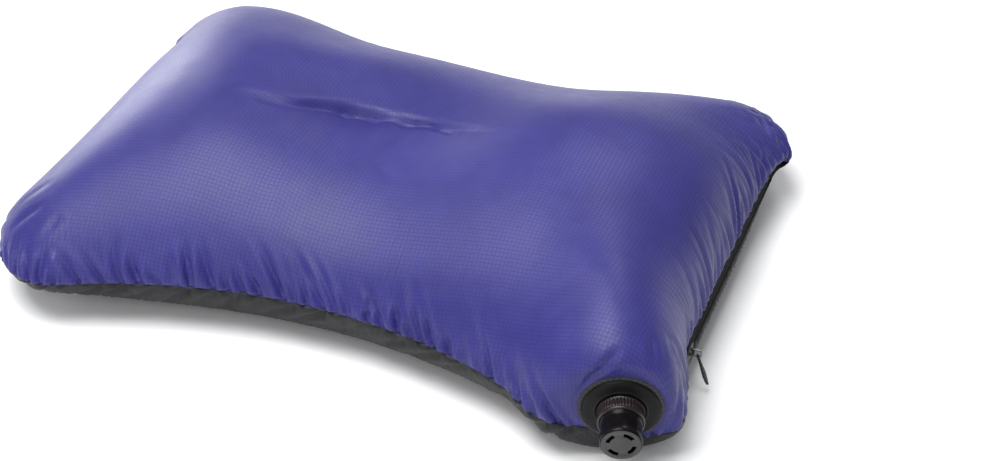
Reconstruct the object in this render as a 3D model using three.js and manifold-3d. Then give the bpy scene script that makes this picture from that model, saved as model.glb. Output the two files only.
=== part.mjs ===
// Inflatable camp pillow: a zipped two-fabric cover with a thin synthetic fill,
// a welded air bladder with a tie strip across its middle, and a twist valve in
// one front corner. Millimetres, +X along the length, +Y towards the back, +Z up.
// The origin is on the flat underside, under the middle of the pillow.
import * as THREE from 'three';
import { mergeVertices } from 'three/addons/utils/BufferGeometryUtils.js';
import Module from 'manifold-3d';

// ---- driving dimensions (mm) -------------------------------------------------
const HALF_LENGTH = 184;        // seam corners along X
const HALF_WIDTH = 139;         // seam corners along Y
const CORNER_RADIUS = 49;       // reach of the rounded corners
const SAG = { front: 32, right: 7, back: 28, left: 12 };   // how far each side pulls in
const FRONT_RIGHT_SHIFT = -6;   // the valve corner reaches further forward
const SEAM_MID_Z = { front: 29, right: 23.5, back: 21, left: 27 };
const SEAM_CORNER_Z = { frontLeft: 15, frontRight: 13, backRight: 20, backLeft: 21 };
const RISE_MIDDLE = 47;         // crown above the seam at the waist
const RISE_ENDS = 62;           // crown above the seam near the two ends
const VALVE_SHOULDER = { x: 158, y: -110, height: 21, spread: 31 };   // fuller corner behind the valve
const CREASE = { x0: -62, x1: 32, depth: 10, width: 18 };
const GRID_U = 17, GRID_V = 13; // panel facets along the length and the width

const FABRIC = 1.0, BATTING = 3.0, LINING = 0.8, FILM = 0.8, GAP = 0.35;

const VALVE_CENTRE = new THREE.Vector3(163.5, -133.8, 33);
const VALVE_AZIMUTH = 18;       // degrees from -Y towards +X
const VALVE_DIP = 5;            // degrees below level
const VALVE_HOLE_R = 21.3;
const PATCH_R = 20.8, PATCH_HOLE_R = 14.6;
const FLANGE_R = 18.8, HUB_R = 14.1, FLANGE_BORE_R = 8.45;
const NECK_R = 8.1, NECK_BORE_R = 6.0, NECK_END = 17.0;
const CAP_END = 24.2;           // mouthpiece face above the flange plane
const KNURL_R = 11.6, KNURLS = 36;
const ROUND = 24;               // facets round a turned piece

const ZIP_X = 177.2, ZIP_Z = 23;            // line of the zip on the right side
const ZIP_Y0 = -83, ZIP_Y1 = 101;           // its front and back ends
const SLIDER_Y = -71;                       // slider closed
const SLOT_TURN = 76;                        // first air slot in the valve's own frame, degrees
const PULL_TILT = 20;                        // the tab leans out a little, degrees
const TAPE_W = 4.5, TAPE_T = 0.6, COIL_W = 1.9, COIL_T = 1.9, LANE = 0.85;

// ---- helpers -----------------------------------------------------------------
const wasm = await Module();
wasm.setup();

const V = (x, y, z) => new THREE.Vector3(x, y, z);

function bare(geometry) {
  const g = geometry.clone();
  for (const name of Object.keys(g.attributes)) if (name !== 'position') g.deleteAttribute(name);
  return mergeVertices(g, 1e-4);
}
function solid(geometry) {
  const g = bare(geometry);
  return new wasm.Manifold(new wasm.Mesh({
    numProp: 3,
    vertProperties: new Float32Array(g.attributes.position.array),
    triVerts: new Uint32Array(g.index.array),
  }));
}
function geometryOf(manifold) {
  const m = manifold.getMesh();
  const g = new THREE.BufferGeometry();
  g.setAttribute('position', new THREE.BufferAttribute(new Float32Array(m.vertProperties), 3));
  g.setIndex(new THREE.BufferAttribute(new Uint32Array(m.triVerts), 1));
  return g;
}
function withNormals(g) { g.computeVertexNormals(); return g; }
function cut(geometry, ...tools) {
  let s = solid(geometry);
  for (const t of tools) s = s.subtract(solid(t));
  return geometryOf(s);
}
function block(x0, x1, y0, y1, z0, z1) {
  const g = new THREE.BoxGeometry(x1 - x0, y1 - y0, z1 - z0);
  g.translate((x0 + x1) / 2, (y0 + y1) / 2, (z0 + z1) / 2);
  return g;
}
// a turned piece: profile of [radius, height] pairs, height along +Z
function turned(profile, segments = ROUND) {
  return new THREE.LatheGeometry(profile.map(([r, h]) => new THREE.Vector2(r, h)), segments).rotateX(Math.PI / 2);
}
// ---- the pillow's outline: four sides that pull in between rounded corners -----
function sideCurves() {
  const c = [V(-HALF_LENGTH, -HALF_WIDTH, 0), V(HALF_LENGTH, -HALF_WIDTH + FRONT_RIGHT_SHIFT, 0),
    V(HALF_LENGTH, HALF_WIDTH, 0), V(-HALF_LENGTH, HALF_WIDTH, 0)];
  const sag = [SAG.front, SAG.right, SAG.back, SAG.left];
  const power = [2, 5, 2, 2];
  const sides = [];
  for (let k = 0; k < 4; k++) {
    const a = c[k], b = c[(k + 1) % 4];
    const t = b.clone().sub(a), len = t.length(); t.normalize();
    const n = V(-t.y, t.x, 0), pts = [];
    for (let i = 0; i <= 120; i++) {
      const s = CORNER_RADIUS + (len - 2 * CORNER_RADIUS) * i / 120;
      const q = 2 * (s - CORNER_RADIUS) / (len - 2 * CORNER_RADIUS) - 1;
      pts.push(a.clone().addScaledVector(t, s).addScaledVector(n, sag[k] * (1 - Math.abs(q) ** power[k])));
    }
    sides.push(pts);
  }
  const corners = [];
  for (let k = 0; k < 4; k++) {
    const s = sides[k], nx = sides[(k + 1) % 4];
    const a = s.at(-1), b = nx[0];
    const m = a.distanceTo(b) * 1.17;
    const ta = a.clone().sub(s.at(-2)).normalize().multiplyScalar(m);
    const tb = nx[1].clone().sub(b).normalize().multiplyScalar(m);
    const pts = [];
    for (let i = 1; i < 60; i++) {
      const h = i / 60;
      pts.push(a.clone().multiplyScalar(2 * h ** 3 - 3 * h ** 2 + 1)
        .addScaledVector(ta, h ** 3 - 2 * h ** 2 + h)
        .addScaledVector(b, -2 * h ** 3 + 3 * h ** 2)
        .addScaledVector(tb, h ** 3 - h ** 2));
    }
    corners.push(pts);
  }
  return [0, 1, 2, 3].map((k) => {
    const before = corners[(k + 3) % 4], after = corners[k];
    const pts = [...before.slice(29), ...sides[k], ...after.slice(0, 30)];
    const along = [0];
    for (let i = 1; i < pts.length; i++) along.push(along[i - 1] + pts[i].distanceTo(pts[i - 1]));
    return (f) => {
      const want = f * along.at(-1);
      let i = 1;
      while (i < along.length - 1 && along[i] < want) i++;
      return pts[i - 1].clone().lerp(pts[i], (want - along[i - 1]) / (along[i] - along[i - 1]));
    };
  });
}
const [frontSide, rightSide, backSide, leftSide] = sideCurves();
const edge = {
  front: (s) => frontSide(s), right: (t) => rightSide(t), back: (s) => backSide(1 - s), left: (t) => leftSide(1 - t),
};
function edgeZ(mid, z0, z1, q) { const c = q < 0 ? z0 : z1; return c + (mid - c) * (1 - Math.abs(q) ** 3); }
function coons(u, v, f, r, b, l) {   // values on the four edges blended over the panel
  const s = (u + 1) / 2, t = (v + 1) / 2;
  const mix = (key) => (1 - t) * f(s)[key] + t * b(s)[key] + (1 - s) * l(t)[key] + s * r(t)[key]
    - ((1 - s) * (1 - t) * f(0)[key] + s * (1 - t) * f(1)[key] + (1 - s) * t * b(0)[key] + s * t * b(1)[key]);
  return V(mix('x'), mix('y'), mix('z'));
}
function seamPoint(u, v) {
  const z = SEAM_MID_Z, k = SEAM_CORNER_Z;
  const put = (p, h) => { p.z = h; return p; };
  return coons(u, v,
    (s) => put(edge.front(s), edgeZ(z.front, k.frontLeft, k.frontRight, 2 * s - 1)),
    (t) => put(edge.right(t), edgeZ(z.right, k.frontRight, k.backRight, 2 * t - 1)),
    (s) => put(edge.back(s), edgeZ(z.back, k.backLeft, k.backRight, 2 * s - 1)),
    (t) => put(edge.left(t), edgeZ(z.left, k.frontLeft, k.backLeft, 2 * t - 1)));
}
const smooth = (a, b, x) => { const t = Math.min(1, Math.max(0, (x - a) / (b - a))); return t * t * (3 - 2 * t); };

// ---- valve axis ----------------------------------------------------------------
const az = THREE.MathUtils.degToRad(VALVE_AZIMUTH), dip = THREE.MathUtils.degToRad(VALVE_DIP);
const AXIS = V(Math.sin(az) * Math.cos(dip), -Math.cos(az) * Math.cos(dip), -Math.sin(dip));
function onValve(geometry) {
  const q = new THREE.Quaternion().setFromUnitVectors(V(0, 0, 1), AXIS);
  return geometry.applyQuaternion(q).translate(VALVE_CENTRE.x, VALVE_CENTRE.y, VALVE_CENTRE.z);
}
// the corner round the valve is drawn flat onto the flange plane
function towardsValve(p) {
  const d = p.clone().sub(VALVE_CENTRE), s = d.dot(AXIS);
  const w = 1 - smooth(26, 62, d.length());
  p.addScaledVector(AXIS, -s * w);
  if (p.z < 0) p.z = 0;
  return p;
}
// ---- panels ----------------------------------------------------------------------
function topPoint(u, v) {
  const p = seamPoint(u, v);
  const rise = RISE_MIDDLE + (RISE_ENDS - RISE_MIDDLE) * Math.sin(Math.PI / 2 * Math.min(Math.abs(p.x) / 100, 1)) ** 2;
  const lift = rise * Math.pow(Math.max(0, 1 - Math.abs(u) ** 5), 0.55) * Math.pow(Math.max(0, 1 - v * v), 0.65);
  const dent = CREASE.depth * Math.exp(-((p.y / CREASE.width) ** 2))
    * smooth(CREASE.x0 - 15, CREASE.x0 + 15, p.x) * (1 - smooth(CREASE.x1 - 15, CREASE.x1 + 15, p.x));
  const k = VALVE_SHOULDER, near = ((p.x - k.x) ** 2 + (p.y - k.y) ** 2) / (2 * k.spread ** 2);
  p.z += lift - dent + k.height * Math.exp(-near) * smooth(0, 18, lift);
  return towardsValve(p);
}
function bottomPoint(u, v) {
  const p = seamPoint(u, v);
  const k = Math.pow(Math.max(0, 1 - Math.abs(u) ** 9), 0.6) * Math.pow(Math.max(0, 1 - Math.abs(v) ** 7), 0.6);
  p.z *= 1 - smooth(0, 0.72, k);
  return towardsValve(p);
}
const paramU = (i) => Math.sin(Math.PI / 2 * (2 * i / (GRID_U - 1) - 1));
const paramV = (j) => Math.sin(Math.PI / 2 * (2 * j / (GRID_V - 1) - 1));
function sheet(pointAt, facesUp) {
  const P = [];
  for (let i = 0; i < GRID_U; i++) { P.push([]); for (let j = 0; j < GRID_V; j++) P[i].push(pointAt(paramU(i), paramV(j))); }
  const N = P.map((row, i) => row.map((p, j) => {
    const a = P[Math.min(i + 1, GRID_U - 1)][j].clone().sub(P[Math.max(i - 1, 0)][j]);
    const b = P[i][Math.min(j + 1, GRID_V - 1)].clone().sub(P[i][Math.max(j - 1, 0)]);
    const n = a.cross(b).normalize();
    return facesUp ? n : n.negate();
  }));
  for (let i = 0; i < GRID_U; i++) for (let j = 0; j < GRID_V; j++) {
    if (i && j && i < GRID_U - 1 && j < GRID_V - 1) continue;
    // on the rim the offset runs level and inwards
    const ring = outlineNormal(i, j, P);
    N[i][j].copy(ring);
  }
  return { P, N };
}
function outlineNormal(i, j, P) {
  const loop = rimLoop(), k = loop.findIndex(([a, b]) => a === i && b === j);
  const [a0, b0] = loop[(k + loop.length - 1) % loop.length], [a1, b1] = loop[(k + 1) % loop.length];
  const t = P[a1][b1].clone().sub(P[a0][b0]);
  return V(t.y, -t.x, 0).normalize();
}
function rimLoop() {
  const loop = [];
  for (let i = 0; i < GRID_U - 1; i++) loop.push([i, 0]);
  for (let j = 0; j < GRID_V - 1; j++) loop.push([GRID_U - 1, j]);
  for (let i = GRID_U - 1; i > 0; i--) loop.push([i, GRID_V - 1]);
  for (let j = GRID_V - 1; j > 0; j--) loop.push([0, j]);
  return loop;
}
// an open bowl of even thickness: from depth d0 to depth d1 under the outer face
function bowl({ P, N }, d0, d1, facesUp) {
  const verts = [], index = [];
  const lift = facesUp ? GAP / 2 + 0.02 : -GAP / 2 - 0.02;
  const isRim = (i, j) => i === 0 || j === 0 || i === GRID_U - 1 || j === GRID_V - 1;
  for (const d of [d0, d1]) for (let i = 0; i < GRID_U; i++) for (let j = 0; j < GRID_V; j++) {
    const p = P[i][j].clone().addScaledVector(N[i][j], -d);
    if (isRim(i, j)) p.z = P[i][j].z + lift;
    verts.push(p.x, p.y, p.z);
  }
  const id = (k, i, j) => k * GRID_U * GRID_V + i * GRID_V + j;
  const tri = (a, b, c, flip) => (flip ? index.push(a, c, b) : index.push(a, b, c));
  for (let k = 0; k < 2; k++) for (let i = 0; i < GRID_U - 1; i++) for (let j = 0; j < GRID_V - 1; j++) {
    const flip = (k === 1) === facesUp;
    const even = P[i][j].distanceTo(P[i + 1][j + 1]) <= P[i + 1][j].distanceTo(P[i][j + 1]);
    const a = id(k, i, j), b = id(k, i + 1, j), c = id(k, i + 1, j + 1), d = id(k, i, j + 1);
    if (even) { tri(a, b, c, flip); tri(a, c, d, flip); } else { tri(a, b, d, flip); tri(b, c, d, flip); }
  }
  const loop = rimLoop();
  for (let k = 0; k < loop.length; k++) {
    const [i0, j0] = loop[k], [i1, j1] = loop[(k + 1) % loop.length];
    const a = id(0, i0, j0), b = id(0, i1, j1), c = id(1, i1, j1), d = id(1, i0, j0);
    tri(a, c, b, !facesUp); tri(a, d, c, !facesUp);
  }
  const g = new THREE.BufferGeometry();
  g.setAttribute('position', new THREE.Float32BufferAttribute(verts, 3));
  g.setIndex(index);
  return g;
}
const top = sheet(topPoint, true), bottom = sheet(bottomPoint, false);

const valveHole = onValve(new THREE.CylinderGeometry(VALVE_HOLE_R, VALVE_HOLE_R, 21, 24).rotateX(Math.PI / 2).translate(0, 0, -2.5));
const zipSlot = block(150, 200, ZIP_Y0 - 0.4, ZIP_Y1 + 0.4, ZIP_Z - TAPE_W - LANE - COIL_W - 0.7, ZIP_Z + TAPE_W + LANE + COIL_W + 0.7);
// the layers inside stop short of the seam in the shallow corners
const cornerRoom = [], cornerCap = [];
for (const [sx, sy, z] of [[-1, -1, SEAM_CORNER_Z.frontLeft], [1, -1, SEAM_CORNER_Z.frontRight], [1, 1, SEAM_CORNER_Z.backRight], [-1, 1, SEAM_CORNER_Z.backLeft]]) {
  const x = [sx * 140, sx * 205].sort((p, q) => p - q), y = [sy * 105, sy * 165].sort((p, q) => p - q);
  cornerRoom.push(block(...x, ...y, -5, z + 5));
  cornerCap.push(block(...x, ...y, z - 1.5, 60));
}
const sliderRoom = block(171.8, 200, ZIP_Y0 - 2, ZIP_Y1 + 2, ZIP_Z - 11.5, ZIP_Z + 11.5);

const group = new THREE.Group();
function add(name, geometry, color, roughness, metalness = 0) {
  const mesh = new THREE.Mesh(withNormals(geometry), new THREE.MeshStandardMaterial({ color, roughness, metalness }));
  mesh.name = name;
  group.add(mesh);
  return mesh;
}

// ---- cover, fill and bladder --------------------------------------------------------
const d1 = FABRIC + GAP, d2 = d1 + BATTING, d3 = d2 + GAP, d4 = d3 + LINING, d5 = d4 + GAP, d6 = d5 + FILM;
add('top_cover', cut(bowl(top, 0, FABRIC, true), valveHole, zipSlot), 0x453f8f, 0.45);
add('fill_batting', cut(bowl(top, d1, d2, true), valveHole, sliderRoom, ...cornerRoom), 0xeceae4, 0.95);
add('batting_lining', cut(bowl(top, d3, d4, true), valveHole, sliderRoom, ...cornerRoom), 0x2a2a2e, 0.7);
add('bladder_upper_film', cut(bowl(top, d5, d6, true), valveHole, sliderRoom, ...cornerRoom), 0x8e9099, 0.4);
add('bladder_lower_film', cut(bowl(bottom, FABRIC + GAP, FABRIC + GAP + FILM, false), valveHole, sliderRoom, ...cornerCap), 0x8e9099, 0.4);
add('bottom_cover', cut(bowl(bottom, 0, FABRIC, false), valveHole, zipSlot), 0x26272b, 0.6);

// tie strip that holds the two films together under the crease
const tieTop = RISE_MIDDLE + (SEAM_MID_Z.front + SEAM_MID_Z.back) / 2 - CREASE.depth - d6 - 3;
add('bladder_tie_strip', block(CREASE.x0 + 8, CREASE.x1 - 6, -0.5, 0.5, FABRIC + GAP + FILM + 0.6, tieTop), 0x8e9099, 0.5);

// ---- valve ------------------------------------------------------------------------
add('valve_patch', onValve(turned([[PATCH_HOLE_R, -0.9], [PATCH_R, -0.9], [PATCH_R, 0.5], [PATCH_HOLE_R, 0.5], [PATCH_HOLE_R, -0.9]])), 0x17181b, 0.85);
add('valve_flange', onValve(turned([[FLANGE_BORE_R, -5.6], [HUB_R, -5.6], [HUB_R, 0.85], [FLANGE_R, 0.85], [FLANGE_R + 0.2, 1.6],
  [FLANGE_R - 0.7, 2.4], [12.6, 2.8], [11.9, 2.4], [FLANGE_BORE_R, 2.4], [FLANGE_BORE_R, -5.6]])), 0x141518, 0.5);
add('valve_base_flange', onValve(turned([[NECK_R + 0.35, -7.4], [20.4, -7.4], [20.4, -5.95], [NECK_R + 0.35, -5.95], [NECK_R + 0.35, -7.4]])), 0x1b1c1f, 0.5);
add('valve_neck', onValve(turned([[NECK_BORE_R, -7.4], [NECK_R, -7.4], [NECK_R, 8.0], [7.2, 8.0], [7.2, 10.2], [NECK_R, 10.2],
  [NECK_R, NECK_END - 0.6], [NECK_R - 0.6, NECK_END], [NECK_BORE_R, NECK_END], [NECK_BORE_R, -7.4]])), 0x1b1c1f, 0.45);
{
  const ring = [];
  for (let k = 0; k <= 7; k++) { const t = -2 * Math.PI * k / 7; ring.push([8.15 + 0.85 * Math.cos(t), 9.1 - 0.85 * Math.sin(t)]); }
  add('valve_o_ring', onValve(turned(ring)), 0x101012, 0.6);
}
add('valve_seal_disc', onValve(turned([[0, NECK_END + 0.3], [7.3, NECK_END + 0.3], [7.3, NECK_END + 1.8], [0, NECK_END + 1.8]])), 0xb9b7b0, 0.5);
{
  const body = turned([[0, 19.2], [3.0, 19.2], [3.0, 22.5], [8.4, 22.5], [8.45, 12.9], [9.3, 12.0], [9.3, 3.4], [10.2, 3.4], [10.2, 11.6],
    [9.8, 12.2], [9.65, 14.0], [9.75, 18.5], [10.3, 22.4], [10.15, 23.5], [9.5, CAP_END], [0, CAP_END]]);
  const slots = [];
  for (let k = 0; k < 4; k++) {
    const a0 = SLOT_TURN * Math.PI / 180 + k * Math.PI / 2, half = 0.42, s = new THREE.Shape();
    s.absarc(0, 0, 7.9, a0 - half, a0 + half, false);
    s.absarc(0, 0, 6.3, a0 + half, a0 - half, true);
    s.closePath();
    slots.push(new THREE.ExtrudeGeometry(s, { depth: 4, bevelEnabled: false, curveSegments: 5 }).translate(0, 0, 21));
  }
  add('valve_mouthpiece', onValve(cut(body, ...slots)), 0x141417, 0.35);
}
{
  const s = new THREE.Shape(), n = KNURLS * 2;
  for (let k = 0; k < n; k++) {
    const t = 2 * Math.PI * k / n, r = k % 2 ? KNURL_R : KNURL_R - 0.5;
    k ? s.lineTo(r * Math.cos(t), r * Math.sin(t)) : s.moveTo(r * Math.cos(t), r * Math.sin(t));
  }
  s.closePath();
  const hole = new THREE.Path(); hole.absarc(0, 0, 10.5, 0, 2 * Math.PI, true); s.holes.push(hole);
  add('valve_knurled_ring', onValve(new THREE.ExtrudeGeometry(s, { depth: 7.6, bevelEnabled: false, curveSegments: 14 }).translate(0, 0, 3.4)), 0x1c1416, 0.4);
}
// ---- zip ---------------------------------------------------------------------------
for (const [side, k] of [['upper', 1], ['lower', -1]]) {
  const z0 = ZIP_Z + k * LANE, z1 = z0 + k * COIL_W, z2 = z1 + k * 0.3, z3 = z2 + k * TAPE_W;
  add('zip_coil_' + side, block(ZIP_X - COIL_T / 2, ZIP_X + COIL_T / 2, ZIP_Y0 + 3.2, ZIP_Y1 - 3.2, Math.min(z0, z1), Math.max(z0, z1)), 0x1a1a1c, 0.4);
  add('zip_tape_' + side, block(ZIP_X - TAPE_T / 2, ZIP_X + TAPE_T / 2, ZIP_Y0, ZIP_Y1, Math.min(z2, z3), Math.max(z2, z3)), 0x1d1d20, 0.8);
}
const stopZ = LANE + COIL_W - 0.1;
add('zip_top_stop', block(ZIP_X - 1.2, ZIP_X + 1.2, ZIP_Y0 + 0.6, ZIP_Y0 + 2.9, ZIP_Z - stopZ, ZIP_Z + stopZ), 0x9a9a9c, 0.35, 0.8);
add('zip_bottom_stop', block(ZIP_X - 1.2, ZIP_X + 1.2, ZIP_Y1 - 2.9, ZIP_Y1 - 0.6, ZIP_Z - stopZ, ZIP_Z + stopZ), 0x9a9a9c, 0.35, 0.8);

// slider: two plates round the coil, a wedge between the rows, side lips and a bridge
const SL = { in0: ZIP_X - 2.7, in1: ZIP_X - 1.5, out0: ZIP_X + 1.5, out1: ZIP_X + 2.7, half: 4.2, len: 4.5 };
{
  const y = SLIDER_Y;
  let s = solid(block(SL.in0, SL.in1, y - SL.len, y + SL.len, ZIP_Z - SL.half, ZIP_Z + SL.half))
    .add(solid(block(SL.out0, SL.out1, y - SL.len, y + SL.len, ZIP_Z - SL.half, ZIP_Z + SL.half)))
    .add(solid(block(SL.in0 + 0.2, SL.out1 - 0.2, y - SL.len + 0.4, y - SL.len + 3, ZIP_Z - 0.45, ZIP_Z + 0.45)));
  for (const k of [1, -1]) {
    const a = ZIP_Z + k * (SL.half - 0.95), b = ZIP_Z + k * SL.half;
    s = s.add(solid(block(SL.out0 - 0.75, SL.out0 + 0.4, y - SL.len, y + SL.len, Math.min(a, b), Math.max(a, b))))
      .add(solid(block(SL.in1 - 0.4, SL.in1 + 0.75, y - SL.len, y + SL.len, Math.min(a, b), Math.max(a, b))));
  }
  s = s.add(solid(block(SL.out1 - 0.2, SL.out1 + 2.2, y - 2.6, y + 2.6, ZIP_Z - 0.9, ZIP_Z + 0.9)))
    .subtract(solid(block(SL.out1, SL.out1 + 1.5, y - 1.8, y + 1.8, ZIP_Z - 2, ZIP_Z + 2)));
  add('zip_slider_body', geometryOf(s), 0x8d8d90, 0.3, 0.9);
}
// bail: a flat wire loop through the bridge
const BAIL_X = SL.out1 + 0.85;
{
  const s = new THREE.Shape();
  s.moveTo(-0.45, -2.4); s.lineTo(4.2, -2.4); s.lineTo(5.1, -1.5); s.lineTo(5.1, 1.5); s.lineTo(4.2, 2.4); s.lineTo(-0.45, 2.4); s.closePath();
  const h = new THREE.Path();
  h.moveTo(0.45, -1.5); h.lineTo(0.45, 1.5); h.lineTo(3.8, 1.5); h.lineTo(4.2, 1.1); h.lineTo(4.2, -1.1); h.lineTo(3.8, -1.5); h.closePath();
  s.holes.push(h);
  const g = new THREE.ExtrudeGeometry(s, { depth: 0.9, bevelEnabled: false }).translate(0, 0, -0.45).rotateX(Math.PI / 2);
  add('zip_bail', g.translate(BAIL_X, SLIDER_Y, ZIP_Z), 0xa8a8aa, 0.28, 0.9);
}
// pull: a soft leaf-shaped tab whose eye is looped over the lower arm of the bail
{
  const s = new THREE.Shape(), leaf = [[0.9, 1.35], [1.6, 0.8], [1.7, -1.2], [1.3, -3], [1.7, -6], [2.2, -9.5], [2.1, -13], [1.4, -16], [0.5, -17.3]];
  leaf.forEach(([a, b], k) => (k ? s.lineTo(a, b) : s.moveTo(a, b)));
  leaf.slice().reverse().forEach(([a, b]) => s.lineTo(-a, b));
  const eye = new THREE.CylinderGeometry(0.85, 0.85, 4, 10).rotateX(Math.PI / 2);
  const g = cut(new THREE.ExtrudeGeometry(s, { depth: 1.2, bevelEnabled: false }).translate(0, 0, -0.6), eye);
  g.applyMatrix4(new THREE.Matrix4().makeBasis(V(0, 1, 0), V(0, 0, 1), V(1, 0, 0)));
  g.rotateY(-PULL_TILT * Math.PI / 180);
  add('zip_pull_tab', g.translate(BAIL_X + 3.1, SLIDER_Y, ZIP_Z - 1.95), 0x1b1b1d, 0.7);
}

export default group;
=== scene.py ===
# The camp pillow's looks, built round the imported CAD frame. Metres, same frame as the CAD.
import bpy, bmesh, math
import numpy as np
from mathutils import Matrix, Vector


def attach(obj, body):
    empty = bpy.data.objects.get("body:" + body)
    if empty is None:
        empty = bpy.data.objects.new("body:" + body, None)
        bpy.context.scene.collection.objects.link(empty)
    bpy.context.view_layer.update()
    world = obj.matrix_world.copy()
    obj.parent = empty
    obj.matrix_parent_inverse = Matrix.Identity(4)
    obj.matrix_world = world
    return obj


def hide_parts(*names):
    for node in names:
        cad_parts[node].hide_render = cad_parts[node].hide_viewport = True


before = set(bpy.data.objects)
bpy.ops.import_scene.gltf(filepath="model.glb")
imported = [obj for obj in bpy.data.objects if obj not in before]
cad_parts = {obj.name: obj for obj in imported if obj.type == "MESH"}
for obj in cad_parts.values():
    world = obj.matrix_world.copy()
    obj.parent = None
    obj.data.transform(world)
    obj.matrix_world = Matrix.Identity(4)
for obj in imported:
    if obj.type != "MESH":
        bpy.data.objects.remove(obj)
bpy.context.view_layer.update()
MM = 0.001

# ------------------------------------------------------------------ driving dimensions (mm)
HL, HW, RC = 184.0, 139.0, 49.0
SAG = dict(front=30.7, right=6.0, back=22.2, left=13.2)
FR_SHIFT = -6.0
SEAM_MID = dict(front=27.7, right=24.7, back=22.9, left=22.1)
SEAM_CORNER = dict(fl=23.8, fr=12.4, br=24.4, bl=12.2)
RISE_MID, RISE_END = 47.0, 62.0
C_V = np.array([163.5, -133.8, 33.0])
AZ, DIP = math.radians(18), math.radians(5)
AX = np.array([math.sin(AZ) * math.cos(DIP), -math.cos(AZ) * math.cos(DIP), -math.sin(DIP)])
ZIP_X, ZIP_Z, ZIP_Y0, ZIP_Y1, SLIDER_Y = 177.2, 23.0, -83.0, 101.0, -71.0

def smooth(a, b, x):
    t = np.clip((x - a) / (b - a), 0, 1)
    return t * t * (3 - 2 * t)

# ------------------------------------------------------------------ the pillow's outline
def side_curves():
    c = np.array([[-HL, -HW], [HL, -HW + FR_SHIFT], [HL, HW], [-HL, HW]], float)
    sag = [SAG["front"], SAG["right"], SAG["back"], SAG["left"]]
    power = [2, 5, 2, 2]
    sides = []
    for k in range(4):
        a, b = c[k], c[(k + 1) % 4]
        L = np.linalg.norm(b - a); t = (b - a) / L; n = np.array([-t[1], t[0]])
        s = np.linspace(RC, L - RC, 241)
        q = 2 * (s - RC) / (L - 2 * RC) - 1
        sides.append(a + t * s[:, None] + n * (sag[k] * (1 - np.abs(q) ** power[k]))[:, None])
    corners = []
    for k in range(4):
        s, nx = sides[k], sides[(k + 1) % 4]
        a, b = s[-1], nx[0]
        m = np.linalg.norm(b - a) * 1.17
        ta = s[-1] - s[-2]; ta = ta / np.linalg.norm(ta) * m
        tb = nx[1] - nx[0]; tb = tb / np.linalg.norm(tb) * m
        h = np.linspace(0, 1, 121)[1:-1, None]
        corners.append((2*h**3-3*h**2+1)*a + (h**3-2*h**2+h)*ta + (-2*h**3+3*h**2)*b + (h**3-h**2)*tb)
    out = []
    for k in range(4):
        before, after = corners[(k + 3) % 4], corners[k]
        out.append(np.vstack([before[59:], sides[k], after[:60]]))
    return out
SIDES = side_curves()
def along(curve, f):
    d = np.r_[0, np.cumsum(np.linalg.norm(np.diff(curve, axis=0), axis=1))]
    return np.stack([np.interp(f * d[-1], d, curve[:, k]) for k in range(2)], -1)
def edge_z(mid, z0, z1, q):
    c = np.where(q < 0, z0, z1)
    return c + (mid - c) * (1 - np.abs(q) ** 3)
def seam_grid(u, v):
    s, t = (u + 1) / 2, (v + 1) / 2
    k, m = SEAM_CORNER, SEAM_MID
    F = np.c_[along(SIDES[0], s), edge_z(m["front"], k["fl"], k["fr"], u)]
    R = np.c_[along(SIDES[1], t), edge_z(m["right"], k["fr"], k["br"], v)]
    B = np.c_[along(SIDES[2], 1 - s), edge_z(m["back"], k["bl"], k["br"], u)]
    L = np.c_[along(SIDES[3], 1 - t), edge_z(m["left"], k["fl"], k["bl"], v)]
    S, T = s[:, None, None], t[None, :, None]
    P = ((1-T)*F[:, None] + T*B[:, None] + (1-S)*L[None] + S*R[None]
         - ((1-S)*(1-T)*F[0] + S*(1-T)*F[-1] + (1-S)*T*B[0] + S*T*B[-1]))
    # the hidden back left corner is pulled in a little
    g = np.exp(-((P[..., 0] + HL) ** 2 + (P[..., 1] - HW) ** 2) / (2 * 16.0 ** 2))
    P[..., 0] += 4.0 * g; P[..., 1] -= 3.0 * g
    return P

def towards_valve(P):
    d = P - C_V
    s = d @ AX
    w = 1 - smooth(26, 62, np.linalg.norm(d, axis=-1))
    P = P - (s * w)[..., None] * AX
    P[..., 2] = np.maximum(P[..., 2], 0)
    return P

def params(n, a=0.5):
    t = np.linspace(-1, 1, n)
    return (1 - a) * t + a * np.sin(np.pi / 2 * t)

# broad fullness of the filled pillow, as x, y and height, spread over 32 by 38 mm
FULLNESS = [(-165, 78, -7.0), (-120, 78, 1.5), (-75, 78, -11.0), (-30, 78, -0.6), (20, 78, -2.7), (70, 78, -10.2), (120, 78, -2.6), (160, 78, -3.8),
            (-165, 10, 0.4), (-165, -60, -0.5), (165, 10, 1.9), (165, -50, -0.5), (-60, -60, 2.5)]
# the pressed fold across the middle: x, y of its valley, and its depth
FOLD = [(-92, -30, 0), (-78, -27, 0.8), (-68, -25, 2.6), (-60, -24, 3.4), (-54, -21, 2.2), (-48, -14, 3.8), (-40, -9.5, 5.6), (-33, -5, 6.4), (-24, -2.5, 6.6), (-11, -0.3, 6.0), (2.5, 1.4, 5.0), (16, 1.0, 3.6), (30, -3, 2.2), (46, -7, 1.0), (64, -10, 0.3), (80, -12, 0)]

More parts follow.
